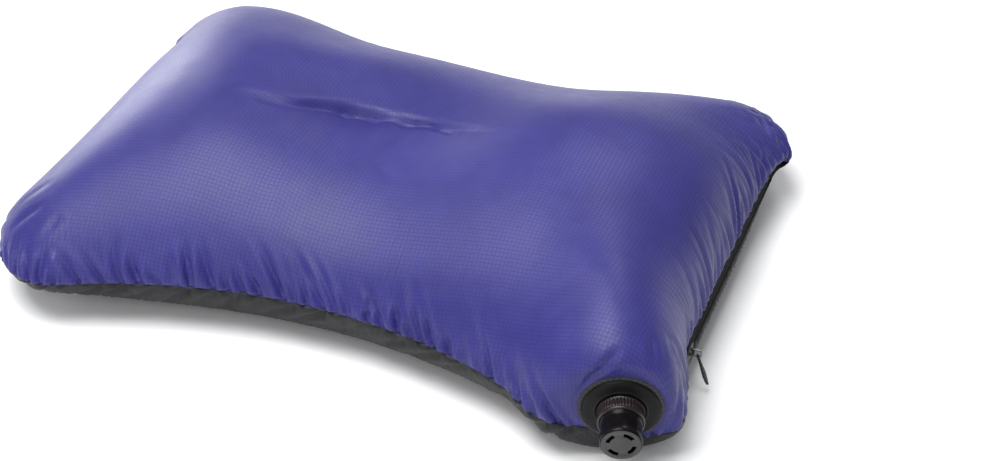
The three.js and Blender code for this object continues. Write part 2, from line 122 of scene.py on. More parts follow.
def top_macro(u, v):
    P = seam_grid(u, v)
    U, V = np.meshgrid(np.abs(u), np.abs(v), indexing="ij")
    x, y = P[..., 0].copy(), P[..., 1].copy()
    rise = RISE_MID + (RISE_END - RISE_MID) * np.sin(np.pi / 2 * np.minimum(np.abs(x) / 100, 1)) ** 2
    lift = rise * np.clip(1 - U ** 5, 0, 1) ** 0.55 * np.clip(1 - V ** 2, 0, 1) ** 0.65
    zone = smooth(-105, -40, x) * (1 - smooth(5, 90, x))
    fx, fy, fd = np.array(FOLD).T
    gx = np.linspace(-130, 130, 521)
    bell = np.exp(-(np.arange(-30, 31) / 14.0) ** 2); bell /= bell.sum()
    even_out = lambda f: np.convolve(np.pad(np.interp(gx, fx, f), 30, mode="edge"), bell, mode="valid")
    yf, df = np.interp(x, gx, even_out(fy)), np.interp(x, gx, even_out(fd) * (1 + (0.16 * np.sin(gx / 5.1) + 0.10 * np.sin(gx / 2.7 + 1)) * np.exp(-((gx + 15) / 28) ** 4)))
    dent = 4.5 * np.exp(-((y / 34) ** 2)) * zone
    # the valley: a long slope in front, a short steep lip behind
    t = y - yf
    dent = dent + df * np.where(t < 0, 0.84 * np.exp(-(np.abs(t) / 26) ** 1.2) + 0.16 * np.exp(-(t / 4.5) ** 2), np.exp(-(np.abs(t) / 2.9) ** 1.7))
    # the lip behind the valley stands a little proud
    dent = dent - 0.02 * df * np.exp(-((t - 10) / 6) ** 2)
    dz = 21 * np.exp(-((x - 158) ** 2 + (y + 110) ** 2) / (2 * 31.0 ** 2))
    for gx, gy, h in FULLNESS:
        dz = dz + h * np.exp(-((x - gx) / 32) ** 2 / 2 - ((y - gy) / 38) ** 2 / 2)
    P[..., 2] += lift - dent + dz * smooth(0, 18, lift)
    return towards_valve(P)

def bottom_macro(u, v):
    P = seam_grid(u, v)
    U, V = np.meshgrid(np.abs(u), np.abs(v), indexing="ij")
    x, y = P[..., 0].copy(), P[..., 1].copy()
    k = np.clip(1 - U ** 5.85, 0, 1) ** 0.6 * np.clip(1 - V ** 4.78, 0, 1) ** 0.6
    fz = 1 - smooth(0, 0.97, k) ** 0.67
    br = np.exp(-((x - 184) ** 2 + (y - 139) ** 2) / (2 * 45.0 ** 2))
    tuck = 9 * br * smooth(0, 0.5, 1 - fz)
    fz = fz + (1 - fz) * (0.94 * br + 0.36 * np.exp(-((x + 184) ** 2 + (y + 139) ** 2) / (2 * 45.0 ** 2)))
    P[..., 0] += 4.26 * np.sin(np.pi * np.clip(1 - fz, 0, 1)) ** 0.7 * smooth(.8, 1, u)[:, None] * (1 - smooth(.75, 1, v)[None]) * smooth(-1, -.6, v)[None]
    P[..., 0] -= tuck; P[..., 1] -= tuck
    P[..., 2] *= fz
    return towards_valve(P)

def even(fn, n, axis):
    """parameters that space the surface's lines evenly along it"""
    t = np.linspace(-1, 1, 601)
    f = np.sign(t) * (1 - (1 - np.abs(t)) ** 1.9)
    c = np.linspace(-0.8, 0.8, 7)
    M = fn(f, c) if axis == 0 else fn(c, f)
    d = np.linalg.norm(np.diff(M, axis=axis), axis=-1)
    s = np.concatenate([[0], np.cumsum(d.mean(1 - axis))])
    return np.interp(np.linspace(0, s[-1], n), s, f)

def normals(P):
    a = np.empty_like(P); b = np.empty_like(P)
    a[1:-1] = P[2:] - P[:-2]; a[0] = P[1] - P[0]; a[-1] = P[-1] - P[-2]
    b[:, 1:-1] = P[:, 2:] - P[:, :-2]; b[:, 0] = P[:, 1] - P[:, 0]; b[:, -1] = P[:, -1] - P[:, -2]
    n = np.cross(a, b)
    return n / (np.linalg.norm(n, axis=-1, keepdims=True) + 1e-9)

# ------------------------------------------------------------------ cloth: position-based, held on the fill by a soft foundation
def proj(a, b, L, k):
    d = b - a
    l = np.sqrt(np.einsum("...k,...k->...", d, d)) + 1e-9
    c = (0.5 * k) * (l - L) / l
    d *= c[..., None]
    a += d; b -= d

def relax(M, N, eu, ev, pinned, steps, push, out_k, in_k, kb, amp, seed, slide=0.004, floor=None, kc=0.12):
    """cloth with eu and ev more length than M along its two threads: pushed out by the fill, held back by its own threads"""
    rng = np.random.default_rng(seed)
    noise = rng.standard_normal(M.shape[:2])
    for _ in range(4):
        noise[1:-1, 1:-1] = (noise[1:-1, 1:-1] + noise[2:, 1:-1] + noise[:-2, 1:-1] + noise[1:-1, 2:] + noise[1:-1, :-2]) / 5
    noise /= noise.std()
    X = M + (amp * noise)[..., None] * N
    X[pinned] = M[pinned]
    ln = lambda a, b: np.linalg.norm(b - a, axis=-1)
    gu, gv = 1 + (eu[1:] + eu[:-1]) / 2, 1 + (ev[:, 1:] + ev[:, :-1]) / 2
    Li, Lj = ln(M[:-1], M[1:]) * gu, ln(M[:, :-1], M[:, 1:]) * gv
    gd = 1 + (eu + ev)[:-1, :-1] / 2
    Ld, Le = ln(M[:-1, :-1], M[1:, 1:]) * gd, ln(M[1:, :-1], M[:-1, 1:]) * gd
    Li2, Lj2 = Li[:-1] + Li[1:], Lj[:, :-1] + Lj[:, 1:]
    V = np.zeros_like(X)
    for it in range(steps):
        X0 = X.copy()
        D = X - M
        d = (D * N).sum(-1)
        f = push - np.where(d > 0, out_k, in_k) * d
        V = 0.90 * V + f[..., None] * N - slide * (D - d[..., None] * N)
        np.clip(V, -0.6, 0.6, out=V)
        X += V
        for o in (0, 1): proj(X[o:-1:2], X[o+1::2], Li[o::2], 1.0)
        for o in (0, 1): proj(X[:, o:-1:2], X[:, o+1::2], Lj[:, o::2], 1.0)
        for o in (0, 1):
            proj(X[o:-1:2, :-1], X[o+1::2, 1:], Ld[o::2], kc)
            proj(X[o+1::2, :-1], X[o:-1:2, 1:], Le[o::2], kc)
        for o in (0, 1, 2, 3):
            a, b = X[o:-2:4], X[o+2::4]; proj(a, b, Li2[o::4], kb)
            a, b = X[:, o:-2:4], X[:, o+2::4]; proj(a, b, Lj2[:, o::4], kb)
        X[pinned] = M[pinned]
        if floor is not None:
            X[..., 2] = np.maximum(X[..., 2], floor)
        V = X - X0
    return X

def soften(X, pinned, n=1, w=0.5):
    for _ in range(n):
        A = X.copy()
        A[1:-1, 1:-1] = (1 - w) * X[1:-1, 1:-1] + w * (X[2:, 1:-1] + X[:-2, 1:-1] + X[1:-1, 2:] + X[1:-1, :-2]) / 4
        A[pinned] = X[pinned]
        X = A
    return X

def rim_mask(nu, nv):
    m = np.zeros((nu, nv), bool); m[0] = m[-1] = True; m[:, 0] = m[:, -1] = True
    return m

def arc(M, axis):
    d = np.linalg.norm(np.diff(M, axis=axis), axis=-1)
    z = np.zeros_like(np.take(d, [0], axis=axis))
    s = np.concatenate([z, np.cumsum(d, axis=axis)], axis=axis)
    mid = s.shape[axis] // 2
    return s - np.take(s, [mid], axis=axis)

def zip_gap(M, sign):
    """along the zip the cover's edge stands back from the coil"""
    col = M[-1]
    w = smooth(ZIP_Y0 - 2.5, ZIP_Y0 + 3.5, col[:, 1]) * (1 - smooth(ZIP_Y1 - 3.5, ZIP_Y1 + 2.5, col[:, 1]))
    target = np.stack([np.full(len(col), ZIP_X + 0.5), col[:, 1], np.full(len(col), ZIP_Z + sign * 4.7)], -1)
    shift = (target - col) * w[:, None]
    shift[:, 1] = 0
    n = 16
    for i in range(n):
        M[-1 - i] += shift * (1 - i / n) ** 2
    return M

def patchy(rng, n, lo, hi, s):
    """gathers come in uneven bunches along a side"""
    k = rng.uniform(lo, hi, n)
    return np.interp(s, np.linspace(s.min(), s.max(), n), k)

def seam_creases(rng, s, d, spacing, depth, length, slant, width):
    """short creases running in from a seam; s is the distance along it, d the distance from it, both on the cloth"""
    out = np.zeros_like(s)
    p = s.min() + rng.uniform(*spacing)
    while p < s.max():
        a, l, m, w = rng.uniform(*depth), rng.uniform(*length), rng.uniform(*slant), rng.uniform(*width)
        a *= rng.choice([0.45, 0.75, 1.0, 1.15])
        t = s - p - m * d - rng.uniform(-0.3, 0.3) * d * d / l
        w = w * (1 + 0.02 * d)
        q = np.exp(-np.abs(t / w) ** 1.5) - 0.50 * np.exp(-((np.abs(t) - 2.3 * w) / (1.2 * w)) ** 2)
        out -= a * q * smooth(-0.4, 1.5, d) * (1 - smooth(0, l, d)) ** 1.3
        p += rng.uniform(*spacing)
    return out

def stroke(P, a, b, depth, w):
    """one straight crease between two points in space"""
    a, b = np.array(a, float), np.array(b, float)
    ab = b - a
    k = np.clip(((P - a) @ ab) / (ab @ ab), 0, 1)
    t = np.linalg.norm(P - a - k[..., None] * ab, axis=-1)
    taper = np.sin(np.pi * np.clip(k, 0.04, 0.96)) ** 0.5
    return -depth * taper * (np.exp(-np.abs(t / w) ** 1.5) - 0.30 * np.exp(-((t - 2.4 * w) / (1.2 * w)) ** 2))

# creases read off the photo, as two ends (mm), depth and half-width
STROKES = [((-12, 3, 66), (5, -5, 64), 0.9, 1.7), ((10, 3, 68), (30, -8, 75), 0.55, 1.5), ((2, -44, 73), (17, -53, 72), 0.45, 2.0),
           ((0, 28, 73), (10, 23, 73), 0.5, 1.8), ((-76, -27, 87), (-58, -21, 82), 0.5, 2.2), ((-30, -12, 70), (-14, -22, 70), 0.35, 2.0),
           ((145, -141, 36), (150, -140, 54), 2.2, 2.0), ((150, -140, 52), (160, -135, 66), 1.6, 1.8), ((142, -143, 44), (146, -141, 56), 0.8, 2.0),
           ((176, -128, 60), (172, -118, 68), 0.9, 1.8), ((180, -122, 50), (177, -110, 58), 0.8, 1.8),
           ((166, 106, 46), (174, 97, 42), 1.4, 1.8), ((172, 110, 40), (180, 99, 36), 1.5, 1.8), ((158, 112, 50), (166, 118, 42), 1.1, 1.8), ((178, 88, 38), (170, 84, 52), 0.9, 1.8),
           ((-168, -120, 40), (-156, -112, 52), 0.9, 2.0), ((-172, -108, 40), (-160, -98, 54), 0.8, 2.0), ((-150, -131, 36), (-143, -118, 50), 0.9, 1.8)]

def build_top():
    nu, nv = ((389, 237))
    u, v = even(top_macro, nu, 0), even(top_macro, nv, 1)
    M = zip_gap(top_macro(u, v), +1)
    N = normals(M)
    pin = rim_mask(nu, nv)
    su, sv = arc(M, 0), arc(M, 1)
    dl, dr = su - su[:1], su[-1:] - su            # distance from each side, along the cloth
    df, db = sv - sv[:, :1], sv[:, -1:] - sv
    x, y = M[..., 0], M[..., 1]
    rng = np.random.default_rng(5)
    g1, g2, g3, g4 = (patchy(rng, n, lo, hi, s) for n, lo, hi, s in ((17, .4, 1.5, x), (17, .4, 1.2, x), (15, .6, 1.4, y), (13, .4, 1.2, y)))
    eu = 0.060 * g1 * np.exp(-(df / 26) ** 1.5) + 0.045 * g2 * np.exp(-(db / 24) ** 1.5)
    ev = 0.065 * g3 * np.exp(-(dr / 32) ** 1.5) + 0.035 * g4 * np.exp(-(dl / 22) ** 1.5)
    for cx, cy, a in ((-HL, -HW, .02), (HL, HW, .05), (-HL, HW, .02), (HL, -HW, .03)):
        g = a * np.exp(-((x - cx) ** 2 + (y - cy) ** 2) / (2 * 40.0 ** 2))
        eu += g; ev += g
    g = np.exp(-((x - 16) / 40) ** 2 - ((y + 2) / 15) ** 2)       # slack cloth caught in the fold
    eu += 0.028 * g; ev += 0.020 * g
    rv, near = np.linalg.norm(np.cross(M - C_V, AX), axis=-1), np.linalg.norm(M - C_V, axis=-1)
    pin |= (rv < 21.0) & (near < 27)
    h = np.ones_like(x)
    dsp = seam_creases(rng, x, df, (6, 13), (2.0, 4.0), (10, 36), (-0.75, -0.2), (1.2, 1.9))
    dsp += seam_creases(rng, x, df, (4, 9), (0.4, 1.1), (5, 14), (-0.5, 0.3), (1.1, 1.5))
    dsp += seam_creases(rng, x, db, (8, 16), (0.6, 1.6), (14, 40), (-0.4, 0.4), (1.3, 2.0))
    dsp += seam_creases(rng, y, dr, (3.6, 8.5), (0.9, 2.1), (18, 56), (0.05, 0.5), (1.15, 1.7))
    dsp += seam_creases(rng, y, dl, (8, 16), (0.5, 1.3), (12, 34), (-0.4, 0.4), (1.3, 1.9))
    for a, b, c, w in STROKES:
        dsp += stroke(M, a, b, c, w)
    dsp[pin] = 0
    dsp *= smooth(20.8, 24.5, rv) * (near < 60) + (near >= 60)
    M = M + np.clip(dsp, -4.0, 1.8)[..., None] * N
    N = normals(M)
    X = relax(M, N, eu, ev, pin, STEPS, 0.008, 0.020 * h, 0.006 * h, 0.035, 0.12, 11)
    X = soften(X, pin, 1, 0.25)
    return X, M, su, sv

def build_bottom():
    nu, nv = ((261, 177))
    u, v = even(bottom_macro, nu, 0), even(bottom_macro, nv, 1)
    M = zip_gap(bottom_macro(u, v), -1)
    N = -normals(M)
    pin = rim_mask(nu, nv)
    su, sv = arc(M, 0), arc(M, 1)
    dl, dr = su - su[:1], su[-1:] - su
    df, db = sv - sv[:, :1], sv[:, -1:] - sv
    x, y = M[..., 0], M[..., 1]
    rng = np.random.default_rng(8)
    g1, g2, g3, g4 = (patchy(rng, n, lo, hi, s) for n, lo, hi, s in ((17, .5, 1.5, x), (17, .4, 1.3, x), (15, .6, 1.4, y), (13, .4, 1.2, y)))
    eu = 0.05 * g1 * np.exp(-(df / 26) ** 1.5) + 0.05 * g2 * np.exp(-(db / 26) ** 1.5) + 0.002
    ev = 0.05 * g3 * np.exp(-(dr / 26) ** 1.5) + 0.04 * g4 * np.exp(-(dl / 24) ** 1.5) + 0.002
    rv, near = np.linalg.norm(np.cross(M - C_V, AX), axis=-1), np.linalg.norm(M - C_V, axis=-1)
    pin |= (rv < 21.0) & (near < 27)
    h = np.ones_like(x)
    dsp = seam_creases(rng, x, df, (8, 18), (1.5, 3.2), (12, 34), (-2.0, -0.6), (1.7, 2.8))
    dsp += seam_creases(rng, x, db, (8, 16), (0.6, 1.5), (12, 34), (-0.4, 0.4), (1.4, 2.1))
    dsp += seam_creases(rng, y, dr, (9, 20), (0.1, 0.4), (12, 34), (-0.4, 0.4), (1.6, 2.4))
    dsp += seam_creases(rng, y, dl, (10, 20), (0.2, 0.6), (12, 32), (-0.4, 0.4), (1.6, 2.4))
    dsp[pin] = 0
    dsp *= smooth(20.8, 24.5, rv) * (near < 60) + (near >= 60)
    dsp *= smooth(0.5, 5, M[..., 2]) * (1 - 0.75 * smooth(120, 160, np.abs(x)))
    M = M + np.clip(dsp, -3.2, 1.5)[..., None] * N
    X = relax(M, N, eu, ev, pin, STEPS, 0.008, 0.020 * h, 0.006 * h, 0.035, 0.12, 23, floor=0.0)
    X = soften(X, pin, 1, 0.25)
    X[..., 2] = np.maximum(X[..., 2], 0.0)
    return X, M, su, sv
STEPS = 110

# ------------------------------------------------------------------ mesh helpers
def mesh_object(name, verts, faces, uvs=None, smooth_shade=True, mat=None, mats=None, face_mat=None):
    me = bpy.data.meshes.new(name)
    me.from_pydata(verts.tolist() if isinstance(verts, np.ndarray) else verts, [], faces.tolist() if isinstance(faces, np.ndarray) else faces)
    me.validate(verbose=False)
    if uvs is not None:
        layer = me.uv_layers.new(name="UVMap")
        idx = np.zeros(len(me.loops), np.int32)
        me.loops.foreach_get("vertex_index", idx)
        layer.data.foreach_set("uv", np.asarray(uvs, np.float32)[idx].ravel())
    if smooth_shade:
        me.polygons.foreach_set("use_smooth", np.ones(len(me.polygons), bool))
    ob = bpy.data.objects.new(name, me)
    bpy.context.scene.collection.objects.link(ob)
    for m in ([mat] if mat else (mats or [])):
        me.materials.append(m)
    if face_mat is not None:
        me.polygons.foreach_set("material_index", np.asarray(face_mat, np.int32))
    me.update()
    return ob

def shell(name, X, su, sv, thick, outward, mat, step=1):
    """a closed thin shell of cloth: outer face X, inner face thick mm inside, at every step-th line"""
    nu, nv = X.shape[:2]
    if (nu - 1) % step or (nv - 1) % step:
        step = 1
    N = normals(X) * (1 if outward > 0 else -1)
    Y = X
    if step > 1:
        Y = X.copy()
        for _ in range(6):
            Y[1:-1, 1:-1] = (Y[2:, 1:-1] + Y[:-2, 1:-1] + Y[1:-1, 2:] + Y[1:-1, :-2]) / 4
    I = (Y - thick * N)[::step, ::step]
    I[..., 2] = np.maximum(I[..., 2], 0.4) if outward < 0 else I[..., 2]
    n = nu * nv
    V = np.concatenate([X.reshape(-1, 3), I.reshape(-1, 3)]) * MM
    uv = np.stack([su, sv], -1)
    UV = np.concatenate([uv.reshape(-1, 2), uv[::step, ::step].reshape(-1, 2)]) * MM
    def quads(g):
        q = np.stack([g[:-1, :-1], g[1:, :-1], g[1:, 1:], g[:-1, 1:]], -1).reshape(-1, 4)
        return q[:, ::-1] if outward < 0 else q
    def ring(g):
        return np.concatenate([g[:-1, 0], g[-1, :-1], g[:0:-1, -1], g[0, :0:-1]])
    ij = np.arange(n).reshape(nu, nv)
    kl = np.arange(I.shape[0] * I.shape[1]).reshape(I.shape[:2]) + n
    outer, inside = ring(ij), ring(kl)
    F = [tuple(f) for f in quads(ij)] + [tuple(f[::-1]) for f in quads(kl)]
    m = len(inside)
    for c in range(m):
        a, b = int(inside[c]), int(inside[(c + 1) % m])
        fine = [int(outer[(c * step + t) % len(outer)]) for t in range(step + 1)]
        f = fine[::-1] + [a, b]
        F.append(tuple(f[::-1]) if outward < 0 else tuple(f))
    return mesh_object(name, V, F, UV, True, mat)

def lathe(profile, seg, closed=True, cap0=False, cap1=False):
    """rings of [r, z]; r 0 makes a pole. Returns verts, faces in local z-up mm."""
    verts, rings = [], []
    ang = np.linspace(0, 2 * np.pi, seg, endpoint=False)
    for r, z in profile:
        if r < 1e-6:
            rings.append([len(verts)]); verts.append((0, 0, z))
        else:
            rings.append(list(range(len(verts), len(verts) + seg)))
            verts += [(r * math.cos(a), r * math.sin(a), z) for a in ang]
    faces = []
    pairs = list(zip(rings[:-1], rings[1:]))
    if closed:
        pairs.append((rings[-1], rings[0]))
    for A, B in pairs:
        if len(A) == 1 and len(B) == 1:
            continue
        for k in range(seg):
            k2 = (k + 1) % seg
            if len(A) == 1: faces.append((A[0], B[k], B[k2]))
            elif len(B) == 1: faces.append((A[k], B[0], A[k2]))
            else: faces.append((A[k], B[k], B[k2], A[k2]))
    return np.array(verts, float), faces

def rounded(points, r=0.3, n=3):
    """rounds the corners of a closed profile"""
    P = [np.array(p, float) for p in points]
    out = []
    for i, p in enumerate(P):
        a, b = P[i - 1], P[(i + 1) % len(P)]
        if p[0] < 1e-6:
            out.append(p); continue
        la, lb = np.linalg.norm(a - p), np.linalg.norm(b - p)
        d = min(r, la * 0.45, lb * 0.45)
        s, e = p + (a - p) / la * d, p + (b - p) / lb * d
        for t in np.linspace(0, 1, n + 1):
            out.append((1 - t) ** 2 * s + 2 * t * (1 - t) * p + t * t * e)
    return [tuple(q) for q in out]

# the valve's frame: local +Z is the valve's axis
ZA = AX; XA = np.cross([0, 0, 1.0], ZA); XA /= np.linalg.norm(XA); YA = np.cross(ZA, XA)
def on_valve(V):
    V = np.asarray(V, float)
    return (C_V + V[:, :1] * XA + V[:, 1:2] * YA + V[:, 2:3] * ZA) * MM

def orient_out(ob):
    bm = bmesh.new(); bm.from_mesh(ob.data)
    bmesh.ops.recalc_face_normals(bm, faces=bm.faces)
    bm.to_mesh(ob.data); bm.free()
    return ob

def sharp_by_angle(ob, deg=35):
    me = ob.data
    bm = bmesh.new(); bm.from_mesh(me)
    for e in bm.edges:
        e.smooth = not (len(e.link_faces) == 2 and e.calc_face_angle(0) > math.radians(deg))
    bm.to_mesh(me); bm.free()
    return ob

# ------------------------------------------------------------------ materials
def new_mat(name):
    m = bpy.data.materials.new(name)
    m.use_nodes = True
    nt = m.node_tree
    for n in list(nt.nodes):
        nt.nodes.remove(n)
    out = nt.nodes.new("ShaderNodeOutputMaterial")
    bs = nt.nodes.new("ShaderNodeBsdfPrincipled")
    nt.links.new(bs.outputs[0], out.inputs[0])
    return m, nt, bs

class G:
    """small helper for node graphs"""
    def __init__(s, nt): s.nt = nt
    def node(s, kind, **kw):
        n = s.nt.nodes.new(kind)
        for k, v in kw.items(): setattr(n, k, v)
        return n
    def put(s, sock, v):
        if isinstance(v, bpy.types.NodeSocket): s.nt.links.new(v, sock)
        else: sock.default_value = v
    def math(s, op, a, b=None, c=None, clamp=False):
        n = s.node("ShaderNodeMath", operation=op, use_clamp=clamp)
        s.put(n.inputs[0], a)
        if b is not None: s.put(n.inputs[1], b)
        if c is not None: s.put(n.inputs[2], c)
        return n.outputs[0]
    def noise(s, vec, scale, detail=4, rough=0.55, dist=0.0, dims="3D"):
        n = s.node("ShaderNodeTexNoise", noise_dimensions=dims)
        s.put(n.inputs["Vector"], vec); n.inputs["Scale"].default_value = scale
        n.inputs["Detail"].default_value = detail; n.inputs["Roughness"].default_value = rough; n.inputs["Distortion"].default_value = dist
        return n.outputs["Fac"] if "Fac" in n.outputs else n.outputs[0]
    def ramp(s, fac, stops):
        n = s.node("ShaderNodeValToRGB")
        s.put(n.inputs[0], fac)
        e = n.color_ramp.elements
        e[0].position, e[0].color = stops[0]
        e[1].position, e[1].color = stops[-1]
        for p, c in stops[1:-1]:
            x = e.new(p); x.color = c
        return n.outputs[0]
    def mix(s, fac, a, b, mode="MIX"):
        n = s.node("ShaderNodeMix", data_type="RGBA", blend_type=mode)
        s.put(n.inputs[0], fac); s.put(n.inputs[6], a); s.put(n.inputs[7], b)
        return n.outputs[2]
    def mapping(s, vec, scale=(1, 1, 1), rot=(0, 0, 0), loc=(0, 0, 0)):
        n = s.node("ShaderNodeMapping")
        s.put(n.inputs[0], vec); n.inputs[1].default_value = loc; n.inputs[2].default_value = rot; n.inputs[3].default_value = scale
        return n.outputs[0]
    def bump(s, h, strength, dist, normal=None):
        n = s.node("ShaderNodeBump")
        n.inputs["Strength"].default_value = strength; n.inputs["Distance"].default_value = dist
        s.put(n.inputs["Height"], h)
        if normal is not None: s.put(n.inputs["Normal"], normal)
        return n.outputs[0]
    def uv(s):
        return s.node("ShaderNodeTexCoord").outputs["UV"]
    def obj(s):
        return s.node("ShaderNodeTexCoord").outputs["Object"]

def rgb(r, g, b): return (r, g, b, 1.0)

def cloth_mat(name, base, dark, light, cell, line, rough, sheen, sheen_tint, grid_amount, spec=0.5, coat=0.0):
    m, nt, bs = new_mat(name)
    g = G(nt)
    uv = g.uv()
    sep = g.node("ShaderNodeSeparateXYZ"); g.put(sep.inputs[0], uv)
    def lines(c, period, width):
        f = g.math("FRACT", g.math("DIVIDE", c, period))
        d = g.math("ABSOLUTE", g.math("SUBTRACT", f, 0.5))
        return g.math("SUBTRACT", 1.0, g.math("DIVIDE", g.math("SUBTRACT", 0.5, d), width), clamp=True)
    lu, lv = lines(sep.outputs[0], cell, line), lines(sep.outputs[1], cell, line)
    grid = g.math("MAXIMUM", lu, lv)
    cross = g.math("MULTIPLY", lu, lv)
    # plain weave between the ripstop threads
    wv = g.math("MULTIPLY", g.math("SINE", g.math("MULTIPLY", sep.outputs[0], 2 * math.pi / 0.00042)),
                g.math("SINE", g.math("MULTIPLY", sep.outputs[1], 2 * math.pi / 0.00042)))
    big = g.noise(uv, 14.0, 3, 0.5)
    mid = g.noise(uv, 90.0, 4, 0.6)
    thread_u = g.noise(g.mapping(uv, (40, 2600, 1)), 1.0, 2, 0.5)
    thread_v = g.noise(g.mapping(uv, (2600, 40, 1)), 1.0, 2, 0.5)
    thread = g.math("ADD", g.math("MULTIPLY", thread_u, 0.5), g.math("MULTIPLY", thread_v, 0.5))
    tone = g.math("ADD", g.math("MULTIPLY", big, 0.55), g.math("MULTIPLY", mid, 0.25))
    tone = g.math("ADD", tone, g.math("MULTIPLY", thread, 0.2))
    col = g.ramp(tone, [(0.36, dark), (0.5, base), (0.64, light)])
    col = g.mix(g.math("MULTIPLY", grid, grid_amount), col, tuple(x * 0.42 for x in dark[:3]) + (1,))
    col = g.mix(g.math("MULTIPLY", cross, 0.35), col, light)
    g.put(bs.inputs["Base Color"], col)
    r = g.math("ADD", rough, g.math("MULTIPLY", g.math("SUBTRACT", mid, 0.5), 0.16))
    r = g.math("ADD", r, g.math("MULTIPLY", grid, 0.08))
    g.put(bs.inputs["Roughness"], r)
    bs.inputs["Specular IOR Level"].default_value = spec
    bs.inputs["Sheen Weight"].default_value = sheen
    bs.inputs["Sheen Roughness"].default_value = 0.4
    bs.inputs["Sheen Tint"].default_value = sheen_tint
    # small creases pressed into the cloth while packed
    wr = g.noise(g.mapping(uv, (1, 1, 1)), 38.0, 2, 0.5, 0.2)
    wr2 = g.noise(g.mapping(uv, (1, 1.8, 1), rot=(0, 0, 0.5)), 95.0, 2, 0.5, 0.3)
    h = g.math("ADD", g.math("MULTIPLY", grid, 0.10), g.math("MULTIPLY", wv, 0.02))
    h = g.math("ADD", h, g.math("MULTIPLY", thread, 0.05))
    b1 = g.bump(h, 0.55, 0.0006)
    b2 = g.bump(g.math("ADD", g.math("MULTIPLY", wr, 1.0), g.math("MULTIPLY", wr2, 0.25)), 0.12, 0.0016, b1)
    g.put(bs.inputs["Normal"], b2)
    return m

def plastic_mat(name, base, rough, bump=0.02, scale=900.0, spec=0.5, coat=0.0, var=0.35):
    m, nt, bs = new_mat(name)
    g = G(nt)
    o = g.obj()
    n1, n2 = g.noise(o, 60.0, 3), g.noise(o, scale, 3, 0.6)
    lighter = tuple(min(1, c * (1 + var) + 0.003) for c in base[:3]) + (1,)
    darker = tuple(c * (1 - var) for c in base[:3]) + (1,)
    g.put(bs.inputs["Base Color"], g.ramp(n1, [(0.35, darker), (0.65, lighter)]))
    g.put(bs.inputs["Roughness"], g.math("ADD", rough - 0.06, g.math("MULTIPLY", n2, 0.12)))
    bs.inputs["Specular IOR Level"].default_value = spec
    bs.inputs["Coat Weight"].default_value = coat
    bs.inputs["Coat Roughness"].default_value = 0.18
    g.put(bs.inputs["Normal"], g.bump(n2, 0.25, bump * MM))
    return m

def metal_mat(name, base, rough):
    m, nt, bs = new_mat(name)
    g = G(nt)
    o = g.obj()
    n1, n2 = g.noise(o, 300.0, 4), g.noise(o, 2500.0, 2)
    g.put(bs.inputs["Base Color"], g.ramp(n1, [(0.3, tuple(c * 0.6 for c in base[:3]) + (1,)), (0.62, base)]))
    bs.inputs["Metallic"].default_value = 1.0
    g.put(bs.inputs["Roughness"], g.math("ADD", rough, g.math("MULTIPLY", n1, 0.15)))
    g.put(bs.inputs["Normal"], g.bump(n2, 0.15, 0.00004))
    return m

def tape_mat(name, base, rough=0.8):
    """woven tape: fine herringbone ribs, in object space"""
    m, nt, bs = new_mat(name)
    g = G(nt)
    o = g.obj()
    sep = g.node("ShaderNodeSeparateXYZ"); g.put(sep.inputs[0], o)
    zig = g.math("PINGPONG", sep.outputs[2], 0.0009)
    a = g.math("ADD", sep.outputs[1], g.math("ADD", zig, g.math("MULTIPLY", sep.outputs[0], 0.6)))
    rib = g.math("SINE", g.math("MULTIPLY", a, 2 * math.pi / 0.00075))
    n1 = g.noise(o, 420.0, 3)
    c2 = tuple(min(1, c * 2.2 + 0.006) for c in base[:3]) + (1,)
    fac = g.math("ADD", g.math("MULTIPLY", rib, 0.22), n1)
    g.put(bs.inputs["Base Color"], g.ramp(fac, [(0.3, base), (0.8, c2)]))
    g.put(bs.inputs["Roughness"], g.math("ADD", rough - 0.08, g.math("MULTIPLY", n1, 0.16)))
    bs.inputs["Sheen Weight"].default_value = 0.15
    g.put(bs.inputs["Normal"], g.bump(fac, 0.5, 0.00025))
    return m

M_BLUE = cloth_mat("blue_ripstop", rgb(0.036, 0.0325, 0.192), rgb(0.028, 0.025, 0.160), rgb(0.046, 0.042, 0.224), 0.00215, 0.14, 0.40, 0.02, rgb(0.70, 0.68, 1.0), 0.58, spec=0.30)
M_BLACK = cloth_mat("charcoal_ripstop", rgb(0.0175, 0.0175, 0.019), rgb(0.012, 0.012, 0.013), rgb(0.024, 0.024, 0.026), 0.00215, 0.12, 0.55, 0.03, rgb(0.9, 0.9, 1.0), 0.4, spec=0.3)
M_FILL = cloth_mat("fill_fleece", rgb(0.78, 0.77, 0.73), rgb(0.7, 0.69, 0.65), rgb(0.85, 0.84, 0.8), 0.004, 0.02, 0.9, 0.4, rgb(1, 1, 1), 0.05)
M_FILM = cloth_mat("bladder_film", rgb(0.28, 0.29, 0.32), rgb(0.24, 0.25, 0.28), rgb(0.32, 0.33, 0.36), 0.0018, 0.06, 0.35, 0.1, rgb(1, 1, 1), 0.15)
M_PATCH = tape_mat("patch_tape", rgb(0.012, 0.012, 0.014))
M_TAPE = tape_mat("zip_tape", rgb(0.008, 0.008, 0.009))
M_THREAD = tape_mat("thread_black", rgb(0.03, 0.03, 0.034), 0.7)
M_MATTE = plastic_mat("moulded_matte", rgb(0.0045, 0.0045, 0.0050), 0.50, 0.03, 1400, spec=0.16)
M_GLOSS = plastic_mat("moulded_gloss", rgb(0.0024, 0.0014, 0.0016), 0.27, 0.02, 1200, spec=0.14)
M_DISC = plastic_mat("moulded_end_face", rgb(0.030, 0.029, 0.029), 0.45, 0.05, 1600)
M_KNURL = plastic_mat("moulded_grip", rgb(0.012, 0.0065, 0.008), 0.34, 0.03, 1500, spec=0.45)
M_RUBBER = plastic_mat("seal_rubber", rgb(0.05, 0.048, 0.045), 0.6)
